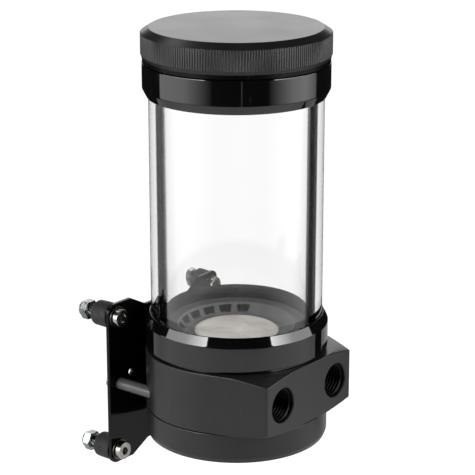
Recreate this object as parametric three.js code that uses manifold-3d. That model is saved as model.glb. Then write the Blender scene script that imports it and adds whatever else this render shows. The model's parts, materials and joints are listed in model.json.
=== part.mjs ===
// Upright hydraulic reservoir: a glass tube held between a base and a screw-capped
// collar, on a bracket plate with four rubber-buffered studs behind it.
// Millimetres. Origin: middle of the underside. +Z up the tube, ports face -Y,
// the bracket is on +Y.

import * as THREE from 'three';
import { mergeVertices } from 'three/addons/utils/BufferGeometryUtils.js';
import Module from 'manifold-3d';

const wasm = await Module();
wasm.setup();

// ---- Driving dimensions ------------------------------------------------------

const GAP = 0.3; // clearance between neighbouring pieces
const ROUND = 40; // sides of the large turned parts
const ROUND_SMALL = 16; // sides of screws, studs and buffers
const ROUND_MEDIUM = 20; // sides of buffers and screw heads
const SEAL_SIDES = 6; // sides of an O-ring's section
const OVERRUN = 1; // how far a cutting tool passes the face that it cuts

const BASE = { radius: 35.0, seam: 11.4, top: 34.9, chamberRadius: 22.0 };
const BLOCK = {
  flat: 35.1, halfWidth: 26.4, sideTurn: 73.6, coneRadius: 36.9, coneSlope: 2 / 7, coneReach: 8,
};
const PORT = {
  x: 16.5, z: 23.4, radius: 6.6, mouthRadius: 6.9, mouthDepth: 0.4, depth: 11.0,
  duct: 4.5, ductTaper: 1.5, ductEnd: 23.1, sides: 24,
};
const NECK = { radius: 30.7, bottom: 6.2 };
const RING = { chamfer: 0.8, chamferTop: 2.0, lipRadius: 25.9, lipTop: 2.6, boreRadius: 31.0 };
const SPANNER = { radius: 1.5, depth: 1.6, circle: 30.0, count: 4 };
const COVER = { bossRadius: 25.6, flangeRadius: 30.4, flangeBottom: 2.9, top: 5.9 };

const TUBE = { outer: 32.75, inner: 28.0, bottom: 39.4, top: 142.6 };
const LOWER = {
  radius: 35.05, bandBottom: 36.3, bandTop: 45.85, top: 49.3, shelf: 38.7, neckRadius: 33.4,
};
const SPIGOT = { radius: 30.0, bore: 26.0, bottom: 29.6 };
const UPPER = { radius: 35.05, bottom: 133.2, bandBottom: 136.5, top: 146.0, shelf: 143.3 };
const SLEEVE = { outer: 27.6, inner: 25.0, bottom: 134.0 };
const CHAMFER_EDGE = 33.35; // radius where a collar's chamfer meets the glass

const CAP = {
  radius: 35.5, faceRadius: 32.3, top: 159.0, gripTop: 156.9, gripBottom: 149.3,
  footRadius: 34.2, foot: 147.9, neckRadius: 33.0, plugTop: 146.3, plugRadius: 24.7,
  plugBottom: 136.0, hollowRadius: 19.5, hollowTop: 153.5,
};

const STRAINER = {
  outer: 27.6, foot: 39.0, lip: 45.2, lipInner: 22.7, floor: 41.0, floorRadius: 19.6,
  seatRadius: 15.9, wall: 1.4, coneWall: 0.8,
};
const WINDOW = { count: 7, pitch: 19.6, width: 5.0, bottom: 41.5, top: 44.2, inner: 18.5, outer: 25.0 };
const DISC = {
  radius: 16.25, edge: 41.3, shoulder: 41.7, rim: 42.1, rimWidth: 1.2, crown: 42.6,
  stem: 15.4, stemBottom: 39.2,
};

// O-rings: middle radius, section radius and height of each
const SEAL = {
  bottom: { radius: 27.0, tube: 0.75, z: 6.95 },
  collar: { radius: 29.2, tube: 0.75, z: 32.1 },
  lowerTube: { radius: 30.4, tube: 0.9, z: 38.2 },
  topTube: { radius: 30.4, tube: 0.9, z: 143.8 },
  cap: { radius: 23.95, tube: 0.75, z: 140.1 },
};

const PLATE = {
  front: 37.2, thickness: 1.5, middle: 18.0, halfWidth: 32.0, halfHeight: 32.8,
  waist: 28.2, earInner: 19.0, waistHalf: 10.0, corner: 3.6,
};
const PLATE_BACK = PLATE.front + PLATE.thickness;
const CORNER = { x: 27.5, z: 27.5 }; // buffers, from the plate's middle
const SPACER = { x: 26.6, radius: 2.3, end: 14.0, holeRadius: 2.7, threadRadius: 1.6, threadEnd: 28.0 };
const SPACER_SCREW = { head: 2.75, headHeight: 2.0, shank: 1.3, tip: 30.0, socket: 1.0, socketDepth: 1.1 };
const SIDE_HOLE = { x: 19.7, z: 2.6, radius: 1.2 };
const SCREW = {
  head: 3.5, headHeight: 2.2, shank: 1.85, reach: 3.2, socket: 1.45, socketDepth: 1.4, hole: 2.2,
};
const WASHER = { radius: 4.2, thickness: 0.5 };
const BUFFER = { radius: 5.0, length: 8.0, threadDepth: 3.4 };
const BUFFER_END = PLATE_BACK + GAP + BUFFER.length;
const STUD = { radius: 1.95, tipChamfer: 0.5, headRadius: 3.6, headDepth: 2.4, end: 55.2 };
const NUT = { acrossFlats: 7.0, front: 50.0, hexHeight: 3.2, collarHeight: 1.3, collarRadius: 3.1 };

// ---- Materials ---------------------------------------------------------------

const FINISH = {
  anodised: { color: 0x17171a, roughness: 0.35, metalness: 0.6 },
  lacquer: { color: 0x0a0a0b, roughness: 0.12, metalness: 0.2 },
  glass: { color: 0xe8f0f0, roughness: 0.02, metalness: 0.0 },
  rubber: { color: 0x222223, roughness: 0.8, metalness: 0.0 },
  plastic: { color: 0x3a3a3d, roughness: 0.5, metalness: 0.0 },
  ivory: { color: 0xd8d4c6, roughness: 0.4, metalness: 0.0 },
  steel: { color: 0xb8b4ae, roughness: 0.3, metalness: 1.0 },
  zinc: { color: 0xdfe4e4, roughness: 0.25, metalness: 1.0 },
};

// ---- Building helpers --------------------------------------------------------

const reservoir = new THREE.Group();
const RIGHT = Math.PI / 2;
const FUSE = 0.5; // how deep joined solids reach into each other

function addPiece(name, geometry, finish) {
  const mesh = new THREE.Mesh(geometry, new THREE.MeshStandardMaterial(FINISH[finish]));
  mesh.name = name;
  reservoir.add(mesh);
  return mesh;
}

// A closed solid for joining and cutting, with the zero-area triangles at poles left out.
function toSolid(geometry) {
  const bare = geometry.clone();
  bare.deleteAttribute('normal');
  bare.deleteAttribute('uv');
  const merged = mergeVertices(bare);
  const corners = [];
  for (let i = 0; i < merged.index.count; i += 3) {
    const triangle = [0, 1, 2].map((k) => merged.index.getX(i + k));
    if (new Set(triangle).size === 3) corners.push(...triangle);
  }
  return new wasm.Manifold(new wasm.Mesh({
    numProp: 3,
    vertProperties: new Float32Array(merged.attributes.position.array),
    triVerts: new Uint32Array(corners),
  }));
}

function toGeometry(solid) {
  const mesh = solid.getMesh();
  const geometry = new THREE.BufferGeometry();
  geometry.setAttribute('position', new THREE.BufferAttribute(mesh.vertProperties, 3));
  geometry.setIndex(new THREE.BufferAttribute(mesh.triVerts, 1));
  geometry.computeVertexNormals();
  return geometry;
}

function cut(geometry, ...tools) {
  return toGeometry(tools.reduce((solid, tool) => solid.subtract(toSolid(tool)), toSolid(geometry)));
}

// A profile of [radius, height] points, outer side rising, turned about +Z.
// It either starts and ends on the axis or is closed here.
function turned(profile, sides = ROUND) {
  const points = profile.map(([radius, height]) => new THREE.Vector2(radius, height));
  const onAxis = points[0].x === 0 && points.at(-1).x === 0;
  if (!onAxis) points.push(points[0].clone());
  return new THREE.LatheGeometry(points, sides).rotateX(RIGHT);
}

// The same, turned about a line along +Y: heights in the profile are y positions.
function turnedAlongY(profile, x, z, sides = ROUND_SMALL) {
  return turned(profile, sides).rotateX(-RIGHT).translate(x, 0, z);
}

function rod(radius, low, high, sides = ROUND_SMALL) {
  return turned([[0, low], [radius, low], [radius, high], [0, high]], sides);
}

function rodAlongY(radius, low, high, x, z, sides = ROUND_SMALL) {
  return turnedAlongY([[0, low], [radius, low], [radius, high], [0, high]], x, z, sides);
}

function washerAlongY(outer, inner, low, high, x, z) {
  return turnedAlongY([[inner, low], [outer, low], [outer, high], [inner, high]], x, z);
}

// A hexagonal bar along +Y; its depth runs from low to high.
function hexAlongY(acrossFlats, low, high, x, z) {
  return rodAlongY(acrossFlats / 2 / Math.cos(Math.PI / 6), low, high, x, z, 6);
}

function oRing({ radius, tube, z }) {
  return new THREE.TorusGeometry(radius, tube, SEAL_SIDES, ROUND).translate(0, 0, z);
}

// The groove that an O-ring lies in, with the usual gap on every side.
function grooveOf({ radius, tube, z }) {
  const half = tube + GAP;
  return { inner: radius - half, outer: radius + half, low: z - half, high: z + half };
}

// ---- Base --------------------------------------------------------------------

function baseOutline() {
  const turn = THREE.MathUtils.degToRad(BLOCK.sideTurn);
  const start = turn - RIGHT; // where the side flat touches the round, seen from +X
  const outline = new THREE.Shape();
  outline.moveTo(-BLOCK.halfWidth, -BLOCK.flat);
  outline.lineTo(BLOCK.halfWidth, -BLOCK.flat);
  outline.absarc(0, 0, BASE.radius, start, Math.PI - start, false);
  outline.closePath();
  return outline;
}

function baseBody() {
  const bottom = BASE.seam + GAP;
  const block = new THREE.ExtrudeGeometry(baseOutline(), {
    depth: BASE.top - bottom, bevelEnabled: false, curveSegments: ROUND / 2,
  }).translate(0, 0, bottom);
  const coneEnd = BLOCK.coneRadius + BLOCK.coneReach;
  const drop = BLOCK.coneReach * BLOCK.coneSlope;
  const envelope = turned([
    [0, bottom], [BLOCK.coneRadius, bottom], [coneEnd, bottom + drop],
    [coneEnd, BASE.top - drop], [BLOCK.coneRadius, BASE.top], [0, BASE.top],
  ]);
  const neck = rod(NECK.radius, NECK.bottom, bottom + FUSE, ROUND);
  let solid = toSolid(block).intersect(toSolid(envelope)).add(toSolid(neck));

  const groove = grooveOf(SEAL.bottom);
  const under = NECK.bottom - OVERRUN;
  const tools = [
    rod(BASE.chamberRadius, under, BASE.top + OVERRUN, ROUND),
    rod(SPIGOT.radius + GAP, SPIGOT.bottom - GAP, BASE.top + OVERRUN, ROUND),
    turned([
      [groove.inner, under], [groove.outer, under],
      [groove.outer, groove.high], [groove.inner, groove.high],
    ]),
  ];
  for (const side of [-1, 1]) {
    const x = side * PORT.x;
    const face = -BLOCK.flat;
    const floor = face + PORT.depth;
    const ductEnd = face + PORT.ductEnd;
    tools.push(turnedAlongY([
      [0, face - OVERRUN], [PORT.mouthRadius, face - OVERRUN], [PORT.mouthRadius, face],
      [PORT.radius, face + PORT.mouthDepth], [PORT.radius, floor],
      [PORT.duct, floor + PORT.ductTaper], [PORT.duct, ductEnd], [0, ductEnd],
    ], x, PORT.z, PORT.sides));
    tools.push(rodAlongY(SPACER.holeRadius, SPACER.end - GAP, BASE.radius, side * SPACER.x, PLATE.middle));
  }
  for (const tool of tools) solid = solid.subtract(toSolid(tool));
  return toGeometry(solid);
}

function bottomRing() {
  const blank = turned([
    [RING.lipRadius, 0], [BASE.radius - RING.chamfer, 0], [BASE.radius, RING.chamferTop],
    [BASE.radius, BASE.seam], [RING.boreRadius, BASE.seam], [RING.boreRadius, RING.lipTop],
    [RING.lipRadius, RING.lipTop],
  ]);
  const holes = [];
  for (let i = 0; i < SPANNER.count; i += 1) {
    const angle = (i * 2 * Math.PI) / SPANNER.count + Math.PI / 4;
    holes.push(rod(SPANNER.radius, -OVERRUN, SPANNER.depth)
      .translate(SPANNER.circle * Math.cos(angle), SPANNER.circle * Math.sin(angle), 0));
  }
  return cut(blank, ...holes);
}

function bottomCover() {
  return turned([
    [0, 0], [COVER.bossRadius, 0], [COVER.bossRadius, COVER.flangeBottom],
    [COVER.flangeRadius, COVER.flangeBottom], [COVER.flangeRadius, COVER.top], [0, COVER.top],
  ]);
}

// ---- Collars, glass and cap --------------------------------------------------

function lowerCollar() {
  const bore = TUBE.outer + GAP;
  const side = grooveOf(SEAL.collar);
  const seat = grooveOf(SEAL.lowerTube);
  return turned([
    [SPIGOT.bore, SPIGOT.bottom], [SPIGOT.radius, SPIGOT.bottom], [SPIGOT.radius, side.low],
    [side.inner, side.low], [side.inner, side.high], [SPIGOT.radius, side.high],
    [SPIGOT.radius, BASE.top + GAP],
    [LOWER.neckRadius, BASE.top + GAP], [LOWER.neckRadius, LOWER.bandBottom],
    [LOWER.radius, LOWER.bandBottom], [LOWER.radius, LOWER.bandTop], [CHAMFER_EDGE, LOWER.top],
    [bore, LOWER.top], [bore, LOWER.shelf], [seat.outer, LOWER.shelf], [seat.outer, seat.low],
    [seat.inner, seat.low], [seat.inner, LOWER.shelf], [SPIGOT.bore, LOWER.shelf],
  ]);
}

function topCollar() {
  const bore = TUBE.outer + GAP;
  const seat = grooveOf(SEAL.topTube);
  return turned([
    [SLEEVE.inner, SLEEVE.bottom], [SLEEVE.outer, SLEEVE.bottom], [SLEEVE.outer, UPPER.shelf],
    [seat.inner, UPPER.shelf], [seat.inner, seat.high], [seat.outer, seat.high], [seat.outer, UPPER.shelf],
    [bore, UPPER.shelf], [bore, UPPER.bottom], [CHAMFER_EDGE, UPPER.bottom],
    [UPPER.radius, UPPER.bandBottom], [UPPER.radius, UPPER.top], [SLEEVE.inner, UPPER.top],
  ]);
}

function glassTube() {
  return turned([
    [TUBE.inner, TUBE.bottom], [TUBE.outer, TUBE.bottom], [TUBE.outer, TUBE.top], [TUBE.inner, TUBE.top],
  ]);
}

function cap() {
  const groove = grooveOf(SEAL.cap);
  return turned([
    [0, CAP.hollowTop], [CAP.hollowRadius, CAP.hollowTop], [CAP.hollowRadius, CAP.plugBottom],
    [CAP.plugRadius, CAP.plugBottom], [CAP.plugRadius, groove.low], [groove.inner, groove.low],
    [groove.inner, groove.high], [CAP.plugRadius, groove.high], [CAP.plugRadius, CAP.plugTop],
    [CAP.neckRadius, CAP.plugTop],
    [CAP.neckRadius, CAP.foot], [CAP.footRadius, CAP.foot], [CAP.radius, CAP.gripBottom],
    [CAP.radius, CAP.gripTop], [CAP.faceRadius, CAP.top], [0, CAP.top],
  ]);
}

// ---- Strainer ----------------------------------------------------------------

function strainerBasket() {
  const { outer, foot, lip, lipInner, floor, floorRadius, seatRadius, wall, coneWall } = STRAINER;
  const shell = turned([
    [outer - wall, foot], [outer, foot], [outer, lip], [lipInner, lip], [floorRadius, floor],
    [seatRadius, floor], [seatRadius, floor - wall], [floorRadius + coneWall, floor - wall],
    [lipInner + coneWall, lip - wall], [outer - wall, lip - wall],
  ]);
  const windows = [];
  for (let i = 0; i < WINDOW.count; i += 1) {
    const offset = i - (WINDOW.count - 1) / 2;
    const turn = THREE.MathUtils.degToRad(offset * WINDOW.pitch);
    const depth = WINDOW.outer - WINDOW.inner;
    const height = WINDOW.top - WINDOW.bottom;
    windows.push(new THREE.BoxGeometry(WINDOW.width, depth, height)
      .translate(0, WINDOW.inner + depth / 2, WINDOW.bottom + height / 2)
      .rotateZ(turn));
  }
  return cut(shell, ...windows);
}

function strainerDisc() {
  return turned([
    [0, DISC.stemBottom], [DISC.stem, DISC.stemBottom], [DISC.stem, DISC.edge],
    [DISC.radius, DISC.edge], [DISC.radius, DISC.shoulder], [DISC.radius - DISC.rimWidth, DISC.rim],
    [0, DISC.crown],
  ]);
}

// ---- Bracket -----------------------------------------------------------------

// The plate has an ear at each corner and a shallow waist along its top and bottom.
function plateOutline() {
  const { halfWidth, halfHeight, waist, earInner, waistHalf, corner } = PLATE;
  const outline = new THREE.Shape();
  outline.moveTo(-halfWidth, -halfHeight + corner);
  outline.absarc(-halfWidth + corner, -halfHeight + corner, corner, Math.PI, 1.5 * Math.PI, false);
  outline.lineTo(-earInner, -halfHeight);
  outline.lineTo(-waistHalf, -waist);
  outline.lineTo(waistHalf, -waist);
  outline.lineTo(earInner, -halfHeight);
  outline.absarc(halfWidth - corner, -halfHeight + corner, corner, 1.5 * Math.PI, 2 * Math.PI, false);
  outline.absarc(halfWidth - corner, halfHeight - corner, corner, 0, RIGHT, false);
  outline.lineTo(earInner, halfHeight);
  outline.lineTo(waistHalf, waist);
  outline.lineTo(-waistHalf, waist);
  outline.lineTo(-earInner, halfHeight);
  outline.absarc(-halfWidth + corner, halfHeight - corner, corner, RIGHT, Math.PI, false);
  outline.closePath();
  return outline;
}

function bracketPlate() {
  const blank = new THREE.ExtrudeGeometry(plateOutline(), {
    depth: PLATE.thickness, bevelEnabled: false, curveSegments: 5,
  }).rotateX(RIGHT).translate(0, PLATE_BACK, PLATE.middle);
  const holes = [];
  const low = PLATE.front - OVERRUN;
  const high = PLATE_BACK + OVERRUN;
  for (const side of [-1, 1]) {
    for (const level of [-1, 1]) {
      holes.push(rodAlongY(SCREW.hole, low, high, side * CORNER.x, PLATE.middle + level * CORNER.z));
    }
    holes.push(rodAlongY(SCREW.hole, low, high, side * SPACER.x, PLATE.middle));
    holes.push(rodAlongY(SIDE_HOLE.radius, low, high, side * SIDE_HOLE.x, PLATE.middle + SIDE_HOLE.z));
  }
  return cut(blank, ...holes);
}

// A socket screw along Y, from its head's seat to its tip. The head stands on the
// other side of the seat: facing is -1 for a head in front, 1 for one behind.
function socketScrew(size, seat, tip, facing, x, z) {
  const span = (from, to) => [Math.min(from, to), Math.max(from, to)];
  const top = seat + facing * size.headHeight;
  const head = rodAlongY(size.head, ...span(seat, top), x, z, ROUND_MEDIUM);
  const shank = rodAlongY(size.shank, ...span(tip, seat + facing * FUSE), x, z);
  const socketFloor = top - facing * size.socketDepth;
  const socket = hexAlongY(2 * size.socket, ...span(socketFloor, top + facing * OVERRUN), x, z);
  return toGeometry(toSolid(head).add(toSolid(shank)).subtract(toSolid(socket)));
}

function rubberBuffer(x, z) {
  const front = PLATE_BACK + GAP;
  const blank = rodAlongY(BUFFER.radius, front, BUFFER_END, x, z, ROUND_MEDIUM);
  const threadHole = rodAlongY(SCREW.shank + GAP, front - OVERRUN, front + BUFFER.threadDepth, x, z);
  const pocketFloor = BUFFER_END - STUD.headDepth - GAP;
  const headPocket = rodAlongY(STUD.headRadius + GAP, pocketFloor, BUFFER_END + OVERRUN, x, z);
  return cut(blank, threadHole, headPocket);
}

// The stud's round plate is moulded into the buffer's end; its thread stands out behind.
function bufferStud(x, z) {
  const headBack = BUFFER_END - STUD.headDepth;
  const { radius, headRadius, tipChamfer, end } = STUD;
  return turnedAlongY([
    [0, headBack], [headRadius, headBack], [headRadius, BUFFER_END], [radius, BUFFER_END],
    [radius, end - tipChamfer], [radius - tipChamfer, end], [0, end],
  ], x, z);
}

function lockNut(x, z) {
  const hexEnd = NUT.front + NUT.hexHeight;
  const hex = hexAlongY(NUT.acrossFlats, NUT.front, hexEnd, x, z);
  const nutEnd = hexEnd + NUT.collarHeight;
  const collar = rodAlongY(NUT.collarRadius, hexEnd - FUSE, nutEnd, x, z);
  const bore = rodAlongY(STUD.radius + GAP, NUT.front - OVERRUN, nutEnd + OVERRUN, x, z);
  return toGeometry(toSolid(hex).add(toSolid(collar)).subtract(toSolid(bore)));
}

// ---- Assembly ----------------------------------------------------------------

addPiece('base_body', baseBody(), 'anodised');
addPiece('bottom_ring', bottomRing(), 'anodised');
addPiece('bottom_cover', bottomCover(), 'anodised');
addPiece('bottom_seal', oRing(SEAL.bottom), 'rubber');
addPiece('lower_collar', lowerCollar(), 'lacquer');
addPiece('collar_seal', oRing(SEAL.collar), 'rubber');
addPiece('lower_tube_seal', oRing(SEAL.lowerTube), 'rubber');
addPiece('glass_tube', glassTube(), 'glass');
addPiece('top_tube_seal', oRing(SEAL.topTube), 'rubber');
addPiece('top_collar', topCollar(), 'lacquer');
addPiece('cap', cap(), 'anodised');
addPiece('cap_seal', oRing(SEAL.cap), 'rubber');
addPiece('strainer_basket', strainerBasket(), 'plastic');
addPiece('strainer_disc', strainerDisc(), 'ivory');
addPiece('bracket_plate', bracketPlate(), 'lacquer');

const washerFront = PLATE.front - GAP - WASHER.thickness;
const washerBack = PLATE_BACK + GAP;
const spacerScrewSeat = washerBack + WASHER.thickness + GAP;

function washerAt(low, x, z) {
  return washerAlongY(WASHER.radius, SCREW.hole, low, low + WASHER.thickness, x, z);
}

for (const [side, sideName] of [[-1, 'left'], [1, 'right']]) {
  const spacerX = side * SPACER.x;
  const spacer = cut(
    rodAlongY(SPACER.radius, SPACER.end, PLATE.front - GAP, spacerX, PLATE.middle),
    rodAlongY(SPACER.threadRadius, SPACER.threadEnd, PLATE.front, spacerX, PLATE.middle),
  );
  const spacerScrew = socketScrew(SPACER_SCREW, spacerScrewSeat, SPACER_SCREW.tip, 1, spacerX, PLATE.middle);
  addPiece(`spacer_${sideName}`, spacer, 'anodised');
  addPiece(`spacer_washer_${sideName}`, washerAt(washerBack, spacerX, PLATE.middle), 'steel');
  addPiece(`spacer_screw_${sideName}`, spacerScrew, 'steel');

  for (const [level, levelName] of [[-1, 'lower'], [1, 'upper']]) {
    const x = side * CORNER.x;
    const z = PLATE.middle + level * CORNER.z;
    const corner = `${levelName}_${sideName}`;
    const screw = socketScrew(SCREW, washerFront - GAP, PLATE_BACK + SCREW.reach, -1, x, z);
    addPiece(`buffer_screw_${corner}`, screw, 'steel');
    addPiece(`screw_washer_${corner}`, washerAt(washerFront, x, z), 'steel');
    addPiece(`rubber_buffer_${corner}`, rubberBuffer(x, z), 'rubber');
    addPiece(`stud_${corner}`, bufferStud(x, z), 'zinc');
    addPiece(`nut_${corner}`, lockNut(x, z), 'zinc');
  }
}

export default reservoir;
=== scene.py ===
"""The looks of the hydraulic reservoir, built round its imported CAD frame.

Shapes are written in millimetres and turned to metres when a piece is made.
Origin: middle of the underside. +Z up the tube, ports face -Y, bracket on +Y.
"""

import json
import math

import bmesh
import bpy
from mathutils import Matrix, Vector

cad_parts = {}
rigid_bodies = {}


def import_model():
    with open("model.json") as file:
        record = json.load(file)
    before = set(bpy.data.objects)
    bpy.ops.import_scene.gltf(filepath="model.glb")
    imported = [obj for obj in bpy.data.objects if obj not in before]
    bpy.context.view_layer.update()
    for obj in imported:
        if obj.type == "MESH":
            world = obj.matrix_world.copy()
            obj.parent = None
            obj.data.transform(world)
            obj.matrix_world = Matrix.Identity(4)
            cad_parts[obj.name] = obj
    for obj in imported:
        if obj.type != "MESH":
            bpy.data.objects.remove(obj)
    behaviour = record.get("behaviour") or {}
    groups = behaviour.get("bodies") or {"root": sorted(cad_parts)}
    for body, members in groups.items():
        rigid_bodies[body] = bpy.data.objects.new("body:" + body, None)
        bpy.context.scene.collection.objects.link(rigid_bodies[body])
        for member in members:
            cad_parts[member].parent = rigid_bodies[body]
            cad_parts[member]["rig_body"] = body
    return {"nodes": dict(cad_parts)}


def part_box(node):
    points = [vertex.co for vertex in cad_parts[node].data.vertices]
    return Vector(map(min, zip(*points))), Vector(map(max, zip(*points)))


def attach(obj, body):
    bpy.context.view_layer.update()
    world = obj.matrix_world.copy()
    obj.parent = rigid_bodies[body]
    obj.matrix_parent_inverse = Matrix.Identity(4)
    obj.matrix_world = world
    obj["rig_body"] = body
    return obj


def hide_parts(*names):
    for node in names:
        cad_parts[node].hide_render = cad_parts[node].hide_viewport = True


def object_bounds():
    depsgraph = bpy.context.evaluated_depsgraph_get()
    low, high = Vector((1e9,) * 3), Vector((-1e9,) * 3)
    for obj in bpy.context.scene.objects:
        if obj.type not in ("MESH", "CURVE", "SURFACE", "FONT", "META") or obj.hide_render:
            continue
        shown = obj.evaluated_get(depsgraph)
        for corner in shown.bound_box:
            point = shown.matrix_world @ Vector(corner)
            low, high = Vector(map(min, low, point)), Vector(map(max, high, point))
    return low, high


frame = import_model()
CAD_LOW, CAD_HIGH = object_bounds()

MM = 0.001
TURN = 2 * math.pi
SIDES = 192  # round the large turned parts
SMALL_SIDES = 48  # round screws, studs and buffers
EASE_STEPS = 3  # faces across an eased corner
SHARP = math.radians(36)  # edges steeper than this stay crisp
MERGE = 1e-4


def box_of(node):
    """Lowest and highest corner of a CAD node, in mm."""
    low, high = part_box(node)
    return low / MM, high / MM


# ---- Sizes, mm: the frame gives each piece's place, these give its details ----

GAP = 0.3
BASE_LOW, BASE_HIGH = box_of("base_body")
RING_LOW, RING_HIGH = box_of("bottom_ring")
ROUND_RADIUS = RING_HIGH.x
BLOCK_FLAT = -BASE_LOW.y
SIDE_TURN = math.radians(73.6)  # from the front to where a side flat meets the round
CONE_RADIUS = 36.9  # the block's corners are cut back beyond this, as a nut's are
CONE_SLOPE = 2 / 7
BLOCK_EDGE = 0.35
CHAMBER_RADIUS = 22.0
NECK_RADIUS = 30.7
PORT = {
    "x": 16.5, "z": 23.4, "mouth": 6.9, "mouth_depth": 0.4, "depth": 11.0, "duct": 4.5, "end": 23.1,
}
THREAD = {"major": 6.58, "minor": 5.76, "pitch": 1.337}  # G1/4

GLASS_LOW, GLASS_HIGH = box_of("glass_tube")
GLASS_INNER = 28.0
CHAMFER_EDGE = GLASS_HIGH.x + 0.6

PLATE_LOW, PLATE_HIGH = box_of("bracket_plate")
PLATE_MIDDLE = (PLATE_LOW.z + PLATE_HIGH.z) / 2


# ---- Mesh tools ----------------------------------------------------------------


def evenly(sides):
    return [TURN * i / sides for i in range(sides)]


def ease(outline):
    """A closed outline of (radius, height) points. A point with a third number, the
    reach of its easing, becomes a short curve that starts that far before the corner."""
    points = []
    for i, (radius, height, *reach) in enumerate(outline):
        here = Vector((radius, height))
        if not reach:
            points.append(here)
            continue
        before = Vector(outline[i - 1][:2]) - here
        after = Vector(outline[(i + 1) % len(outline)][:2]) - here
        start = here + before.normalized() * min(reach[0], before.length * 0.45)
        end = here + after.normalized() * min(reach[0], after.length * 0.45)
        for k in range(EASE_STEPS + 1):
            share = k / EASE_STEPS
            points.append(start.lerp(here, share).lerp(here.lerp(end, share), share))
    return points


def spin(outline_at, angles):
    """A closed solid about Z whose outline at each angle is outline_at(angle)."""
    solid = bmesh.new()
    rings = []
    for angle in angles:
        turn = Vector((math.cos(angle), math.sin(angle)))
        rings.append([solid.verts.new((r * turn.x, r * turn.y, z)) for r, z in outline_at(angle)])
    count = len(rings[0])
    for here, there in zip(rings, rings[1:] + rings[:1]):
        for i in range(count):
            j = (i + 1) % count
            solid.faces.new((here[i], there[i], there[j], here[j]))
    bmesh.ops.remove_doubles(solid, verts=solid.verts, dist=MERGE)
    bmesh.ops.recalc_face_normals(solid, faces=solid.faces)
    return solid


def turned(outline, sides=SIDES):
    points = ease(outline)
    return spin(lambda angle: points, evenly(sides))


def rod(radius, low, high, sides=SMALL_SIDES):
    return turned([(0, low), (radius, low), (radius, high), (0, high)], sides)


def moved(solid, matrix):
    bmesh.ops.transform(solid, matrix=matrix, verts=solid.verts)
    return solid


def facing_back(solid, x, y, z):
    """Turns a solid built up +Z to point along +Y, with its zero at (x, y, z)."""
    return moved(solid, Matrix.Translation((x, y, z)) @ Matrix.Rotation(-math.pi / 2, 4, "X"))


def facing_front(solid, x, y, z):
    """The same, pointing along -Y."""
    return moved(solid, Matrix.Translation((x, y, z)) @ Matrix.Rotation(math.pi / 2, 4, "X"))


def joined(solids):
    whole = bmesh.new()
    for solid in solids:
        mesh = bpy.data.meshes.new("part")
        solid.to_mesh(mesh)
        solid.free()
        whole.from_mesh(mesh)
        bpy.data.meshes.remove(mesh)
    return whole


def cut(blank, tools):
    """What is left of a solid when the tools are taken out of it."""
    helpers = []
    for name, solid in (("blank", blank), ("tool", joined(tools))):
        mesh = bpy.data.meshes.new(name)
        solid.to_mesh(mesh)
        solid.free()
        helper = bpy.data.objects.new(name, mesh)
        bpy.context.scene.collection.objects.link(helper)
        helpers.append(helper)
    boolean = helpers[0].modifiers.new("cut", "BOOLEAN")
    boolean.operation = "DIFFERENCE"
    boolean.solver = "EXACT"
    boolean.object = helpers[1]
    depsgraph = bpy.context.evaluated_depsgraph_get()
    result = bpy.data.meshes.new_from_object(helpers[0].evaluated_get(depsgraph))
    solid = bmesh.new()
    solid.from_mesh(result)
    bpy.data.meshes.remove(result)
    for helper in helpers:
        bpy.data.objects.remove(helper)
    return solid


def add_piece(node, solid, material, sharp=SHARP):
    """Makes the mesh that stands for a CAD node, in metres, on the node's own body."""
    moved(solid, Matrix.Scale(MM, 4))
    mesh = bpy.data.meshes.new(node + "_fine")
    solid.to_mesh(mesh)
    solid.free()
    mesh.shade_smooth()
    mesh.set_sharp_from_angle(angle=sharp)
    mesh.materials.append(material)
    piece = bpy.data.objects.new(node + "_fine", mesh)
    bpy.context.scene.collection.objects.link(piece)
    normals = piece.modifiers.new("even_shading", "WEIGHTED_NORMAL")
    normals.keep_sharp = True
    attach(piece, frame["nodes"][node]["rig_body"])
    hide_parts(node)
    return piece


# ---- Material tools ------------------------------------------------------------


def set_stops(ramp, row):
    """Gives a colour ramp these (place, grey) stops."""
    elements = ramp.color_ramp.elements
    while len(elements) < len(row):
        elements.new(0.5)
    for element, (place, value) in zip(elements, row):
        element.position = place
        element.color = (value, value, value, 1)


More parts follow.
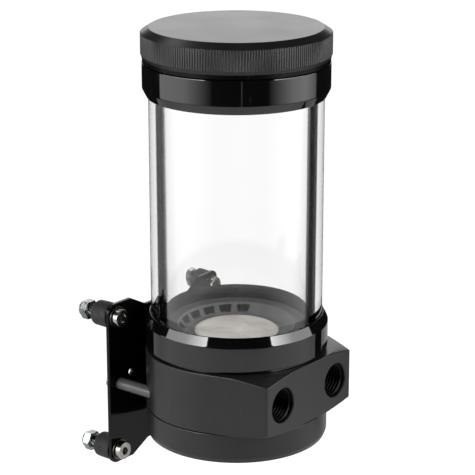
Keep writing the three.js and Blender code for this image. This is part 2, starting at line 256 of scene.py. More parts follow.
class Finish:
    """A material with one Principled shader, and short ways to drive its sockets."""

    def __init__(self, name, colour, roughness, metallic=0.0):
        self.material = bpy.data.materials.new(name)
        self.material.use_nodes = True
        self.nodes = self.material.node_tree.nodes
        self.links = self.material.node_tree.links
        self.shader = self.nodes["Principled BSDF"]
        self.shader.inputs["Base Color"].default_value = (*colour, 1)
        self.shader.inputs["Roughness"].default_value = roughness
        self.shader.inputs["Metallic"].default_value = metallic
        self.place = self.nodes.new("ShaderNodeTexCoord").outputs["Object"]

    def noise(self, scale, stretch=(1, 1, 1), detail=4.0):
        """Noise from 0 to 1 whose blobs are about 1/scale metres wide."""
        mapping = self.nodes.new("ShaderNodeMapping")
        mapping.inputs["Scale"].default_value = stretch
        self.links.new(self.place, mapping.inputs["Vector"])
        noise = self.nodes.new("ShaderNodeTexNoise")
        noise.inputs["Scale"].default_value = scale
        noise.inputs["Detail"].default_value = detail
        self.links.new(mapping.outputs["Vector"], noise.inputs["Vector"])
        return noise.outputs["Fac"]

    def ramp(self, source, low, high, start=0.35, end=0.65):
        """Turns source into colours or greys between low and high."""
        ramp = self.nodes.new("ShaderNodeValToRGB")
        for element, place, value in zip(ramp.color_ramp.elements, (start, end), (low, high)):
            element.position = place
            element.color = (*value, 1) if isinstance(value, tuple) else (value, value, value, 1)
        self.links.new(source, ramp.inputs["Fac"])
        return ramp.outputs["Color"]

    def stops(self, source, row):
        """A ramp of greys with any number of (place, grey) stops."""
        ramp = self.nodes.new("ShaderNodeValToRGB")
        set_stops(ramp, row)
        self.links.new(source, ramp.inputs["Fac"])
        return ramp.outputs["Color"]

    def mix(self, share, first, second):
        mix = self.nodes.new("ShaderNodeMix")
        mix.data_type = "RGBA"
        self.links.new(share, mix.inputs[0])
        self.links.new(first, mix.inputs[6])
        self.links.new(second, mix.inputs[7])
        return mix.outputs[2]

    def drive(self, socket, source):
        self.links.new(source, self.shader.inputs[socket])

    def beyond(self, radius):
        """1 outside a circle of this radius, in mm, about the upright axis, 0 inside."""
        flat = self.nodes.new("ShaderNodeVectorMath")
        flat.operation = "MULTIPLY"
        flat.inputs[1].default_value = (1, 1, 0)
        self.links.new(self.place, flat.inputs[0])
        length = self.nodes.new("ShaderNodeVectorMath")
        length.operation = "LENGTH"
        self.links.new(flat.outputs["Vector"], length.inputs[0])
        outside = self.nodes.new("ShaderNodeMath")
        outside.operation = "GREATER_THAN"
        outside.inputs[1].default_value = radius * MM
        self.links.new(length.outputs["Value"], outside.inputs[0])
        return outside.outputs["Value"]

    def bump(self, source, depth, strength=1.0):
        """Adds relief of about depth mm, on top of any relief already there."""
        bump = self.nodes.new("ShaderNodeBump")
        bump.inputs["Distance"].default_value = depth * MM
        bump.inputs["Strength"].default_value = strength
        self.links.new(source, bump.inputs["Height"])
        normal = self.shader.inputs["Normal"]
        if normal.is_linked:
            self.links.new(normal.links[0].from_socket, bump.inputs["Normal"])
        self.links.new(bump.outputs["Normal"], normal)

    def scuffed(self, body, mark):
        """Colours the piece as body, with sparse short scuffs of the colour mark."""
        share = self.ramp(self.noise(700, stretch=(1, 1, 0.2), detail=8.0), 0.0, 1.0, 0.64, 0.74)
        self.drive("Base Color", self.mix(share, body, self.ramp(share, mark, mark)))


SATIN_SHINE = 0.32


def satin_black(name="satin_black", painted_shade_top=None, fade=1.0):
    """Fine-blasted black anodising with light scuffs, paler by a factor of fade. Below the
    given height in mm it is painted near black with little shine: painted shade for a recess."""
    finish = Finish(name, (0.010, 0.010, 0.011), 0.3)
    finish.shader.inputs["Specular IOR Level"].default_value = SATIN_SHINE
    dark, pale = (0.0075 * fade,) * 3, (0.0095 * fade,) * 3
    body = finish.ramp(finish.noise(60), dark, pale)
    # painted shade: below the given height the colour is near black and the shine is low
    if painted_shade_top:
        split = finish.nodes.new("ShaderNodeSeparateXYZ")
        finish.links.new(finish.place, split.inputs["Vector"])
        height = finish.nodes.new("ShaderNodeMath")
        height.operation = "GREATER_THAN"
        height.inputs[1].default_value = painted_shade_top * MM
        finish.links.new(split.outputs["Z"], height.inputs[0])
        painted_shade = finish.ramp(finish.noise(90), (0.001, 0.001, 0.001), (0.002, 0.002, 0.002))
        body = finish.mix(height.outputs["Value"], painted_shade, body)
        finish.drive("Specular IOR Level", finish.ramp(height.outputs["Value"], 0.05, SATIN_SHINE))
    finish.scuffed(body, (0.016 * fade,) * 3)
    finish.drive("Roughness", finish.ramp(finish.noise(40), 0.28, 0.32))
    finish.bump(finish.noise(5200, detail=2.0), 0.003)
    finish.bump(finish.noise(900, stretch=(0.05, 0.05, 1)), 0.0015)
    return finish.material


def gloss_black():
    """Turned and polished black anodising: mirror-like, with faint rings and smudges."""
    finish = Finish("gloss_black", (0.0015, 0.0015, 0.0017), 0.05)
    body = finish.ramp(finish.noise(45), (0.001, 0.001, 0.0011), (0.002, 0.002, 0.0022))
    finish.scuffed(body, (0.006, 0.006, 0.0063))
    finish.drive("Roughness", finish.ramp(finish.noise(70, detail=8.0), 0.035, 0.07))
    finish.bump(finish.noise(2600, stretch=(0.02, 0.02, 1), detail=2.0), 0.0012)
    return finish.material


def lacquer_black():
    """Smooth black powder coat on sheet metal, with a slight orange-peel ripple."""
    finish = Finish("lacquer_black", (0.002, 0.002, 0.002), 0.09)
    finish.shader.inputs["Specular IOR Level"].default_value = 0.15
    body = finish.ramp(finish.noise(70), (0.0015, 0.0015, 0.0016), (0.003, 0.003, 0.0032))
    finish.scuffed(body, (0.009, 0.009, 0.0093))
    finish.drive("Roughness", finish.ramp(finish.noise(110), 0.06, 0.14))
    finish.bump(finish.noise(380, detail=1.0), 0.004)
    return finish.material


def rubber(name, low, high):
    finish = Finish(name, low, 0.7)
    finish.shader.inputs["Sheen Weight"].default_value = 0.03
    finish.shader.inputs["Specular IOR Level"].default_value = 0.3
    finish.shader.inputs["Sheen Roughness"].default_value = 0.5
    finish.drive("Base Color", finish.ramp(finish.noise(240, detail=8.0), low, high))
    finish.drive("Roughness", finish.ramp(finish.noise(500), 0.58, 0.78))
    finish.bump(finish.noise(3200, detail=3.0), 0.02)
    return finish.material


def grey_plastic():
    """Moulded glass-filled nylon with a fine grain. Its rim is painted darker and less shiny:
    painted shade.
    """
    finish = Finish("grey_plastic", (0.05, 0.05, 0.052), 0.45)
    clean = finish.ramp(finish.noise(150), (0.026, 0.026, 0.0275), (0.035, 0.035, 0.0365))
    # painted shade: darker colour on the rim, outside 22.6 mm
    oil_and_shade = finish.ramp(finish.noise(150), (0.012, 0.012, 0.013), (0.019, 0.019, 0.020))
    rim = finish.beyond(22.6)
    finish.drive("Base Color", finish.mix(rim, clean, oil_and_shade))
    finish.drive("Specular IOR Level", finish.ramp(rim, 0.5, 0.12, 0.0, 1.0))
    finish.drive("Roughness", finish.ramp(finish.noise(600), 0.38, 0.52))
    finish.bump(finish.noise(2600, detail=3.0), 0.012)
    return finish.material


def ivory_plastic():
    """The strainer's cream disc, with faint oily smudges."""
    finish = Finish("ivory_plastic", (0.40, 0.385, 0.355), 0.4)
    smudges = finish.noise(95, stretch=(1, 0.6, 1), detail=6.0)
    oil_and_shade, clean = (0.20, 0.18, 0.155), (0.34, 0.325, 0.30)
    finish.drive("Base Color", finish.ramp(smudges, oil_and_shade, clean, 0.30, 0.60))
    finish.drive("Roughness", finish.ramp(finish.noise(130, detail=6.0), 0.28, 0.5))
    finish.bump(finish.noise(700), 0.012)
    return finish.material


def bright_metal(name, low, high, rough_low, rough_high):
    """Steel or zinc plate with fine machining lines and a mottled shine."""
    finish = Finish(name, high, rough_low, metallic=1.0)
    finish.drive("Base Color", finish.ramp(finish.noise(420, detail=6.0), low, high))
    finish.drive("Roughness", finish.ramp(finish.noise(700, detail=6.0), rough_low, rough_high))
    finish.bump(finish.noise(3000, stretch=(1, 0.1, 1)), 0.004)
    return finish.material


def clear_glass():
    """Clear borosilicate tube. Its outer wall carries painted shade: dark bands painted where it is
    seen at a slant, just before its edges, deeper on its +X side."""
    finish = Finish("clear_glass", (1, 1, 1), 0.0)
    finish.shader.inputs["Transmission Weight"].default_value = 1.0
    finish.shader.inputs["IOR"].default_value = 1.47
    steep = finish.nodes.new("ShaderNodeLayerWeight")
    steep.inputs["Blend"].default_value = 0.5
    # painted shade: dark bands set by how slanted the wall is seen; the +X side is painted darker
    pale = finish.stops(steep.outputs["Facing"], (
        (0.0, 0.96), (0.30, 0.92), (0.39, 0.70), (0.42, 0.60), (0.436, 0.33), (0.452, 0.06),
        (0.472, 0.028), (0.487, 0.006), (0.51, 0.0105), (0.605, 0.0105), (0.635, 0.95), (1.0, 1.0)))
    painted_shade_plus_x = finish.stops(steep.outputs["Facing"], (
        (0.0, 0.96), (0.345, 0.95), (0.363, 0.57), (0.376, 0.31), (0.39, 0.113), (0.42, 0.07),
        (0.436, 0.036), (0.452, 0.007), (0.472, 0.0007), (0.548, 0.0007), (0.572, 0.006),
        (0.615, 0.006), (0.64, 0.95), (1.0, 1.0)))
    split = finish.nodes.new("ShaderNodeSeparateXYZ")
    finish.links.new(finish.place, split.inputs["Vector"])
    side = finish.nodes.new("ShaderNodeMath")
    side.operation = "GREATER_THAN"
    side.inputs[1].default_value = 0.0
    finish.links.new(split.outputs["X"], side.inputs[0])
    painted_edge_shade = finish.mix(side.outputs["Value"], pale, painted_shade_plus_x)
    clear = finish.stops(steep.outputs["Facing"], ((0.0, 0.99), (1.0, 0.97)))
    finish.shader.inputs["Specular IOR Level"].default_value = 0.2
    outer_wall = finish.beyond((GLASS_INNER + GLASS_HIGH.x) / 2)
    finish.drive("Base Color", finish.mix(outer_wall, clear, painted_edge_shade))
    finish.drive("Roughness", finish.ramp(finish.noise(60, detail=6.0), 0.0, 0.012))
    shadow = finish.nodes.new("ShaderNodeBsdfTransparent")
    shadow.inputs["Color"].default_value = (0.93, 0.93, 0.93, 1)
    choose = finish.nodes.new("ShaderNodeMixShader")
    light_path = finish.nodes.new("ShaderNodeLightPath")
    finish.links.new(light_path.outputs["Is Shadow Ray"], choose.inputs["Fac"])
    finish.links.new(finish.shader.outputs["BSDF"], choose.inputs[1])
    finish.links.new(shadow.outputs["BSDF"], choose.inputs[2])
    output = finish.nodes["Material Output"]
    finish.links.new(choose.outputs["Shader"], output.inputs["Surface"])
    return finish.material


SATIN = satin_black()
# the cap's recessed neck, below 147.85 mm, is painted dark: painted shade
CAP_SATIN_NECK_SHADE = satin_black("cap_satin_black_neck_shade", painted_shade_top=147.85)
# the ports' bores take this near-black material: painted shade inside the ports
PORT_PAINTED_SHADE = satin_black("port_painted_shade_black", painted_shade_top=BASE_HIGH.z)
SPACER_SATIN = satin_black("spacer_satin_black", fade=6.0)
GLOSS = gloss_black()
LACQUER = lacquer_black()
GLASS = clear_glass()
SEAL_RUBBER = rubber("seal_rubber", (0.012, 0.012, 0.013), (0.02, 0.02, 0.021))
BUFFER_RUBBER = rubber("buffer_rubber", (0.008, 0.008, 0.0084), (0.012, 0.012, 0.0124))
PLASTIC = grey_plastic()
IVORY = ivory_plastic()
STEEL = bright_metal("screw_steel", (0.26, 0.25, 0.235), (0.40, 0.385, 0.36), 0.16, 0.26)
WASHER_STEEL = bright_metal("washer_steel", (0.05, 0.049, 0.047), (0.09, 0.087, 0.083), 0.22, 0.34)
ZINC = bright_metal("zinc_steel", (0.19, 0.205, 0.205), (0.31, 0.335, 0.335), 0.14, 0.24)


# ---- Base ----------------------------------------------------------------------


def soft_least(first, second, blend=0.35):
    """The smaller of two lengths, with the change between them rounded off."""
    return (first + second - math.hypot(first - second, blend)) / 2


def base_radius(angle):
    """How far the base reaches: round behind, a front flat and two side flats."""
    from_front = abs((angle + math.pi / 2 + math.pi) % TURN - math.pi)
    if from_front >= SIDE_TURN:
        return ROUND_RADIUS
    front = BLOCK_FLAT / math.cos(from_front)
    side = ROUND_RADIUS / math.cos(SIDE_TURN - from_front)
    return soft_least(front, side)


def base_angles():
    """Even steps all round, with fine ones across the block's two corners."""
    corner = math.atan2(BASE_HIGH.x * 0.75, BLOCK_FLAT)
    fine = [(k - 12) * math.radians(0.25) for k in range(25)]
    extra = [-math.pi / 2 + side * corner + step for side in (-1, 1) for step in fine]
    return sorted({round(a % TURN, 6) for a in evenly(SIDES) + extra})


def base_body():
    seam = RING_HIGH.z + GAP
    neck_bottom = BASE_LOW.z
    top = BASE_HIGH.z
    seal_low, seal_high = box_of("bottom_seal")
    seal_radius = seal_high.x - (seal_high.z - seal_low.z) / 2
    groove = (seal_high.z - seal_low.z) / 2 + GAP
    counterbore = box_of("lower_collar")[0].z - GAP
    bore = 30.0 + GAP

    def outline(angle):
        reach = base_radius(angle)
        shoulder = min(CONE_RADIUS, reach - 2 * BLOCK_EDGE)
        drop = max(0.0, reach - CONE_RADIUS) * CONE_SLOPE
        inner_drop = max(0.0, reach - BLOCK_EDGE - CONE_RADIUS) * CONE_SLOPE
        third = BLOCK_EDGE * 0.3
        return [
            (CHAMBER_RADIUS, neck_bottom),
            (seal_radius - groove, neck_bottom),
            (seal_radius - groove, seal_high.z + GAP),
            (seal_radius + groove, seal_high.z + GAP),
            (seal_radius + groove, neck_bottom),
            (NECK_RADIUS, neck_bottom),
            (NECK_RADIUS, seam),
            (shoulder, seam),
            (reach - BLOCK_EDGE, seam + inner_drop),
            (reach - third, seam + drop + third),
            (reach, seam + drop + BLOCK_EDGE),
            (reach, top - drop - BLOCK_EDGE),
            (reach - third, top - drop - third),
            (reach - BLOCK_EDGE, top - inner_drop),
            (shoulder, top),
            (bore, top),
            (bore, counterbore),
            (CHAMBER_RADIUS, counterbore),
        ]

    tools = [port_tool(side * PORT["x"]) for side in (-1, 1)]
    for side in ("left", "right"):
        low, high = box_of("spacer_" + side)
        x = (low.x + high.x) / 2
        hole = rod(2.7, low.y - GAP, ROUND_RADIUS)
        tools.append(facing_back(hole, x, 0, PLATE_MIDDLE))
    solid = cut(spin(outline, base_angles()), tools)
    # faces inside the ports take the second material, painted shade
    for face in solid.faces:
        if inside_port(face.calc_center_median()):
            face.material_index = 1
    return solid


def inside_port(point):
    off_axis = math.hypot(abs(point.x) - PORT["x"], point.z - PORT["z"])
    return off_axis < PORT["mouth"] and point.y > PORT["mouth_depth"] - BLOCK_FLAT


def port_tool(x):
    """The shape of a threaded port: countersunk mouth, thread, then the duct inward."""
    step = THREAD["pitch"] / 10
    start = PORT["mouth_depth"]
    rows = [start + step * i for i in range(1, int((PORT["depth"] - start) / step))]
    ridge_height = THREAD["major"] - THREAD["minor"]

    def outline(angle):
        points = [(0, -1.0), (PORT["mouth"], -1.0), (PORT["mouth"], 0), (THREAD["major"], start)]
        for depth in rows:
            phase = (depth / THREAD["pitch"] + angle / TURN) % 1
            ridge = min(1.0, max(0.0, 1.3 * (1 - abs(2 * phase - 1)) - 0.15))
            fade = min(1.0, (depth - start) / THREAD["pitch"])
            points.append((THREAD["major"] - ridge_height * ridge * fade, depth))
        points.append((THREAD["minor"], PORT["depth"]))
        points.append((PORT["duct"], PORT["depth"] + 1.5))
        points.append((PORT["duct"], PORT["end"]))
        points.append((0, PORT["end"]))
        return points

    return facing_back(spin(outline, evenly(60)), x, -BLOCK_FLAT, PORT["z"])


def bottom_ring():
    lip = 25.9
    bore = 31.0
    lip_top = 2.6
    blank = turned([
        (lip, RING_LOW.z, 0.3), (ROUND_RADIUS - 0.8, RING_LOW.z, 0.3), (ROUND_RADIUS, 2.0, 0.4),
        (ROUND_RADIUS, RING_HIGH.z, 0.35), (bore, RING_HIGH.z), (bore, lip_top), (lip, lip_top, 0.3),
    ])
    hole_circle = 30.0
    holes = []
    for i in range(4):
        angle = TURN * i / 4 + math.pi / 4
        hole = turned([(0, -1), (1.8, -1), (1.8, 0), (1.5, 0.3), (1.5, 1.6), (0, 2.2)], 32)
        place = (hole_circle * math.cos(angle), hole_circle * math.sin(angle), 0)
        holes.append(moved(hole, Matrix.Translation(place)))
    return cut(blank, holes)


def bottom_cover():
    low, high = box_of("bottom_cover")
    boss = 25.6
    flange_bottom = 2.9
    return turned([
        (0, low.z + 0.5), (9.0, low.z + 0.5, 0.3), (9.6, low.z, 0.3), (boss, low.z, 0.35),
        (boss, flange_bottom), (high.x, flange_bottom), (high.x, high.z), (0, high.z),
    ])


def seal(node):
    """An O-ring, round in section, with the thin moulding line it has round its outside."""
    low, high = box_of(node)
    tube = (high.z - low.z) / 2 / math.cos(math.pi / 6)
    middle = (low.z + high.z) / 2
    radius = high.x - tube
    flash = 0.04
    section = []
    for angle in evenly(20):
        reach = tube - flash * (1 - math.cos(angle) ** 8)
        section.append((radius + reach * math.cos(angle), middle + reach * math.sin(angle)))
    return turned(section, SIDES)


# ---- Collars, glass and cap ----------------------------------------------------


def seal_groove(node):
    """Inner radius, outer radius, low and high of the groove that an O-ring lies in."""
    low, high = box_of(node)
    height = high.z - low.z
    tube = height / 2 / math.cos(math.pi / 6)
    return high.x - 2 * tube - GAP, high.x + GAP, low.z - GAP, high.z + GAP


def lower_collar():
    low, high = box_of("lower_collar")
    bore = GLASS_HIGH.x + GAP
    shelf = GLASS_LOW.z - 0.7
    side = seal_groove("collar_seal")
    seat = seal_groove("lower_tube_seal")
    spigot = 30.0
    spigot_bore = 26.0
    neck = 33.4
    return turned([
        (spigot_bore, low.z), (spigot, low.z, 0.4), (spigot, side[2]), (side[0], side[2]),
        (side[0], side[3]), (spigot, side[3]), (spigot, BASE_HIGH.z + GAP),
        (neck, BASE_HIGH.z + GAP), (neck, 36.3), (high.x, 36.3, 0.35), (high.x, 45.85, 0.3),
        (CHAMFER_EDGE, high.z, 0.2), (bore, high.z, 0.15), (bore, shelf), (seat[1], shelf),
        (seat[1], seat[2]), (seat[0], seat[2]), (seat[0], shelf), (spigot_bore, shelf),
    ])


def top_collar():
    low, high = box_of("top_collar")
    bore = GLASS_HIGH.x + GAP
    shelf = GLASS_HIGH.z + 0.7
    seat = seal_groove("top_tube_seal")
    sleeve_outer = GLASS_INNER - 0.4
    sleeve_inner = 25.0
    return turned([
        (sleeve_inner, 134.0, 0.3), (sleeve_outer, 134.0, 0.3), (sleeve_outer, shelf),
        (seat[0], shelf), (seat[0], seat[3]), (seat[1], seat[3]), (seat[1], shelf), (bore, shelf),
        (bore, low.z, 0.15), (CHAMFER_EDGE, low.z, 0.2), (high.x, 136.5, 0.3),
        (high.x, high.z, 0.35), (sleeve_inner, high.z, 0.4),
    ])


def glass_tube():
    low, high = GLASS_LOW, GLASS_HIGH
    return turned([
        (GLASS_INNER, low.z, 0.5), (high.x, low.z, 0.5), (high.x, high.z, 0.5),
        (GLASS_INNER, high.z, 0.5),
    ])


def cap():
    """The screw cap, with a knurled grip that its two chamfers cut across."""
    low, high = box_of("cap")
    groove = seal_groove("cap_seal")
    radius = high.x
    top = high.z
    knurl_depth = 0.22
    ridge_count = 220
    plug = 24.7
    hollow = 19.5
    neck = 34.9
    foot = 147.9
    grip_bottom = 149.3
    grip_top = 156.9
    face_radius = 32.3
    outline = ease([
        (0, 153.5), (hollow, 153.5), (hollow, low.z, 0.3), (plug, low.z, 0.5),
        (plug, groove[2]), (groove[0], groove[2]), (groove[0], groove[3]), (plug, groove[3]),
        (plug, 146.3), (neck, 146.3), (neck, foot), (radius - 0.45, foot, 0.1),
        (radius - knurl_depth, grip_bottom - knurl_depth * 1.08), (radius, grip_bottom),
        (radius, grip_top), (radius - knurl_depth, grip_top + knurl_depth * 0.66),
        (face_radius, top, 0.25), (face_radius - 4, top), (0, top),
    ])
    # one ridge: (share of the pitch, share of the knurl's depth) from crest to groove
    ridge = ((0.0, 0.0), (0.30, 0.0), (0.55, 1.0), (0.75, 1.0))
    pitch = TURN / ridge_count
    limits = {}
    for i in range(ridge_count):
        for place, depth in ridge:
            limits[pitch * (i + place)] = radius - knurl_depth * depth

    def outline_at(angle):
        return [(min(r, limits[angle]), z) for r, z in outline]

    return spin(outline_at, list(limits))


# ---- Strainer ------------------------------------------------------------------


def strainer_basket():
    low, high = box_of("strainer_basket")
    wall = 1.4
    lip = high.z
    lip_inner = 22.7
    floor = 41.0
    floor_radius = 19.6
    seat = 15.9
    shell = turned([
        (high.x - wall, low.z), (high.x, low.z, 0.2), (high.x, lip, 0.35), (lip_inner, lip, 0.35),
        (floor_radius, floor, 0.4), (seat, floor, 0.2), (seat, floor - wall),
        (floor_radius + 0.8, floor - wall), (lip_inner + 0.8, lip - wall),
        (high.x - wall, lip - wall),
    ])
    windows = []
    for i in range(7):
        turn = math.radians(19.6 * (i - 3))
        windows.append(moved(window_tool(), Matrix.Rotation(turn, 4, "Z")))
    return cut(shell, windows)


def window_tool():
    """A window's outline, wider at its top, pushed radially through the cone at +Y."""
    bottom = 41.5
    top = 44.2
    half_bottom = 2.0
    half_top = 2.7
    tool = bmesh.new()
    outline = ease([
        (-half_bottom, bottom, 0.5), (half_bottom, bottom, 0.5),
        (half_top, top, 0.5), (-half_top, top, 0.5),
    ])
    near = [tool.verts.new((x, 18.5, z)) for x, z in outline]
    far = [tool.verts.new((x * 1.08, 25.0, z)) for x, z in outline]
    tool.faces.new(near)
    tool.faces.new(far)
    for i in range(len(near)):
        j = (i + 1) % len(near)
        tool.faces.new((near[i], near[j], far[j], far[i]))
    bmesh.ops.recalc_face_normals(tool, faces=tool.faces)
    return tool


def strainer_disc():
    low, high = box_of("strainer_disc")
    edge = 41.3
    return turned([
        (0, low.z), (15.4, low.z, 0.3), (15.4, edge), (high.x, edge, 0.15),
        (high.x, edge + 0.45, 0.2), (high.x - 1.2, high.z - 0.45, 0.4),
        (high.x * 0.6, high.z - 0.12), (high.x * 0.25, high.z - 0.01), (0, high.z),
    ])


# ---- Bracket -------------------------------------------------------------------


def arc(x, z, radius, start, end, steps=10):
    """Points round (x, z) from one angle to another, in degrees."""
    points = []
    for k in range(steps + 1):
        angle = math.radians(start + (end - start) * k / steps)
        points.append((x + radius * math.cos(angle), z + radius * math.sin(angle)))
    return points


def plate_outline():
    """An ear at each corner, and a shallow waist along the top and bottom."""
    half_width = PLATE_HIGH.x
    half_height = (PLATE_HIGH.z - PLATE_LOW.z) / 2
    corner = 3.6
    ear = 19.0
    waist = 28.2
    waist_half = 10.0
    x = half_width - corner
    z = half_height - corner
    upper = arc(x, z, corner, 0, 90)
    upper += [(ear, half_height), (waist_half, waist), (-waist_half, waist), (-ear, half_height)]
    upper += arc(-x, z, corner, 90, 180)
    return upper + [(-px, -pz) for px, pz in upper]


def bracket_plate():
    """Sheet metal, cut out and with its edges eased."""
    edge = 0.22
    holes = []
    for node in ("buffer_screw_lower_left", "buffer_screw_lower_right", "buffer_screw_upper_left",
                 "buffer_screw_upper_right", "spacer_screw_left", "spacer_screw_right"):
        low, high = box_of(node)
        holes.append(((low.x + high.x) / 2, (low.z + high.z) / 2 - PLATE_MIDDLE, 2.2))
    holes += [(side * 19.7, 2.6, 1.2) for side in (-1, 1)]
    curve = bpy.data.curves.new("plate_outline", "CURVE")
    curve.dimensions = "2D"
    curve.fill_mode = "BOTH"
    curve.extrude = (PLATE_HIGH.y - PLATE_LOW.y) / 2 - edge
    curve.bevel_depth = edge
    curve.bevel_resolution = 2
    curve.offset = -edge
    outlines = [plate_outline()] + [arc(x, z, radius, 0, 351, 39) for x, z, radius in holes]
    for points in outlines:
        spline = curve.splines.new("POLY")
        spline.points.add(len(points) - 1)
        for point, (x, z) in zip(spline.points, points):
            point.co = (x, z, 0, 1)
        spline.use_cyclic_u = True
    helper = bpy.data.objects.new("plate_outline", curve)
    bpy.context.scene.collection.objects.link(helper)
    depsgraph = bpy.context.evaluated_depsgraph_get()
    mesh = bpy.data.meshes.new_from_object(helper.evaluated_get(depsgraph))
    bpy.data.objects.remove(helper)
    solid = bmesh.new()
    solid.from_mesh(mesh)
    bpy.data.meshes.remove(mesh)
    bmesh.ops.remove_doubles(solid, verts=solid.verts, dist=MERGE)
    bmesh.ops.recalc_face_normals(solid, faces=solid.faces)
    middle = (PLATE_LOW.y + PLATE_HIGH.y) / 2
    return facing_front(solid, 0, middle, PLATE_MIDDLE)


def polygon_radius(angle, across_flats, count=6):
    """How far a regular polygon reaches at an angle."""
    part = TURN / count
    return across_flats / 2 / math.cos((angle % part) - part / 2)


def polygon_angles(count=6, steps=8):
    """Angles round a polygon that include each of its corners."""
    return evenly(count * steps)


def socket_screw(head, head_height, shank, length, socket):
    """A low-headed socket screw: seat at zero, head up +Z, shank down."""
    bevel = head * 0.11
    socket_depth = head_height * 0.64

    def outline(angle):
        hexagon = polygon_radius(angle, socket)
        round_top = [
            (head - bevel, head_height), (head - bevel * 0.35, head_height - bevel * 0.2),
            (head - bevel * 0.05, head_height - bevel * 0.65), (head, head_height - bevel * 1.2),
        ]
        return [
            (0, head_height - socket_depth - 0.3), (hexagon * 0.96, head_height - socket_depth),
            (hexagon, head_height - 0.15), (hexagon + 0.15, head_height), *round_top,
            (head, 0.15), (head - 0.15, 0), (shank, 0), (shank, -length + 0.4),
            (shank - 0.4, -length), (0, -length),
        ]

    return spin(outline, polygon_angles())


def washer(node, bore):
    low, high = box_of(node)
    thickness = high.y - low.y
    radius = (high.x - low.x) / 2
    return turned([
        (bore, 0, 0.08), (radius, 0, 0.12), (radius, thickness, 0.12), (bore, thickness, 0.08),
    ], SMALL_SIDES)


def rubber_buffer(node):
    """A rubber cylinder, bevelled at its free end, a little fuller at mid length."""
    low, high = box_of(node)
    length = high.y - low.y
    radius = (high.x - low.x) / 2
    return turned([
        (0, 3.4), (2.15, 3.4), (2.15, 0), (radius - 0.25, 0, 0.15), (radius - 0.2, 0.5),
        (radius - 0.02, 1.0), (radius, length * 0.5), (radius - 0.1, length - 1.0, 0.3),
        (radius - 0.9, length, 0.25), (3.9, length), (3.9, length - 2.7), (0, length - 2.7),
    ], SMALL_SIDES)


def threaded_stud(node):
    """An M4 stud with a round plate at its foot, and a real helical thread."""
    low, high = box_of(node)
    length = high.y - low.y
    head = (high.x - low.x) / 2
    head_depth = 2.4
    radius = 1.95
    pitch = 0.7
    ridge_depth = 0.32
    step = pitch / 7
    rows = [head_depth + step * (i + 1) for i in range(int((length - head_depth) / step) - 1)]

    def outline(angle):
        points = [(0, 0), (head, 0), (head, head_depth), (radius, head_depth)]
        for height in rows:
            phase = (height / pitch - angle / TURN) % 1
            tip = max(0.0, height - (length - 0.6)) * 0.9
            groove = ridge_depth * min(1.0, abs(2 * phase - 1) * 1.2)
            points.append((radius - max(groove, tip), height))
        points.append((radius - 0.6, length))
        points.append((0, length))
        return points

    return spin(outline, evenly(28))


def lock_nut(node):
    """A nylon-insert nut: bevelled hexagon, then the rounded collar round the insert."""
    low, high = box_of(node)
    length = high.y - low.y
    across = 7.0
    hexagon = 3.2
    collar = 3.1
    bore = 2.25
    bevel_start = across / 2 * 1.02

    def outline(angle):
        reach = polygon_radius(angle, across) - 0.04
        drop = max(0.0, reach - bevel_start) * 0.58
        return [
            (bore, 0.3), (bore + 0.3, 0), (bevel_start - 0.1, 0), (reach, drop + 0.05),
            (reach, hexagon - drop - 0.05), (bevel_start - 0.1, hexagon), (collar, hexagon),
            (collar, length - 0.7), (collar - 0.12, length - 0.35), (collar - 0.4, length - 0.1),
            (collar - 0.7, length), (bore + 0.25, length - 0.1), (bore, length - 0.3),
        ]

    return spin(outline, polygon_angles())


def middle_of(node):
    low, high = box_of(node)
    return (low.x + high.x) / 2, low.y, high.y, (low.z + high.z) / 2


# ---- Making every piece --------------------------------------------------------

base = add_piece("base_body", base_body(), SATIN)
# second material: painted shade inside the ports
base.data.materials.append(PORT_PAINTED_SHADE)
add_piece("bottom_ring", bottom_ring(), SATIN)
add_piece("bottom_cover", bottom_cover(), SATIN)
add_piece("lower_collar", lower_collar(), GLOSS)
add_piece("top_collar", top_collar(), GLOSS)
add_piece("cap", cap(), CAP_SATIN_NECK_SHADE)
add_piece("glass_tube", glass_tube(), GLASS)
add_piece("strainer_basket", strainer_basket(), PLASTIC)
add_piece("strainer_disc", strainer_disc(), IVORY)
add_piece("bracket_plate", bracket_plate(), LACQUER, math.radians(12))
for name in ("bottom_seal", "collar_seal", "lower_tube_seal", "top_tube_seal", "cap_seal"):
    add_piece(name, seal(name), SEAL_RUBBER)

for side in ("left", "right"):
    x, front, back, z = middle_of("spacer_" + side)
    length = back - front
    sleeve = turned([
        (0, 14.0), (1.6, 14.0), (1.6, length), (2.05, length), (2.3, length - 0.25),
        (2.3, 0.25), (2.05, 0), (0, 0),
    ], SMALL_SIDES)
    add_piece("spacer_" + side, facing_back(sleeve, x, front, z), SPACER_SATIN)
    node = "spacer_washer_" + side
    x, front, back, z = middle_of(node)
    add_piece(node, facing_back(washer(node, 2.2), x, front, z), WASHER_STEEL)
    node = "spacer_screw_" + side
    x, tip, top, z = middle_of(node)
    small = socket_screw(2.75, 2.0, 1.3, top - 2.0 - tip, 2.0)
    add_piece(node, facing_back(small, x, top - 2.0, z), STEEL)
    for level in ("lower", "upper"):
        corner = level + "_" + side
        node = "buffer_screw_" + corner
        x, top, tip, z = middle_of(node)
        screw = socket_screw(3.5, 2.2, 1.85, tip - top - 2.2, 2.9)
        add_piece(node, facing_front(screw, x, top + 2.2, z), STEEL)
        node = "screw_washer_" + corner
        x, front, back, z = middle_of(node)
        add_piece(node, facing_back(washer(node, 2.2), x, front, z), WASHER_STEEL)
        node = "rubber_buffer_" + corner
        x, front, back, z = middle_of(node)
        cushion = facing_back(rubber_buffer(node), x, front, z)
        add_piece(node, cushion, BUFFER_RUBBER)
        node = "stud_" + corner
        x, front, back, z = middle_of(node)
        add_piece(node, facing_back(threaded_stud(node), x, front, z), ZINC)
        node = "nut_" + corner
        x, front, back, z = middle_of(node)
        add_piece(node, facing_back(lock_nut(node), x, front, z), ZINC)


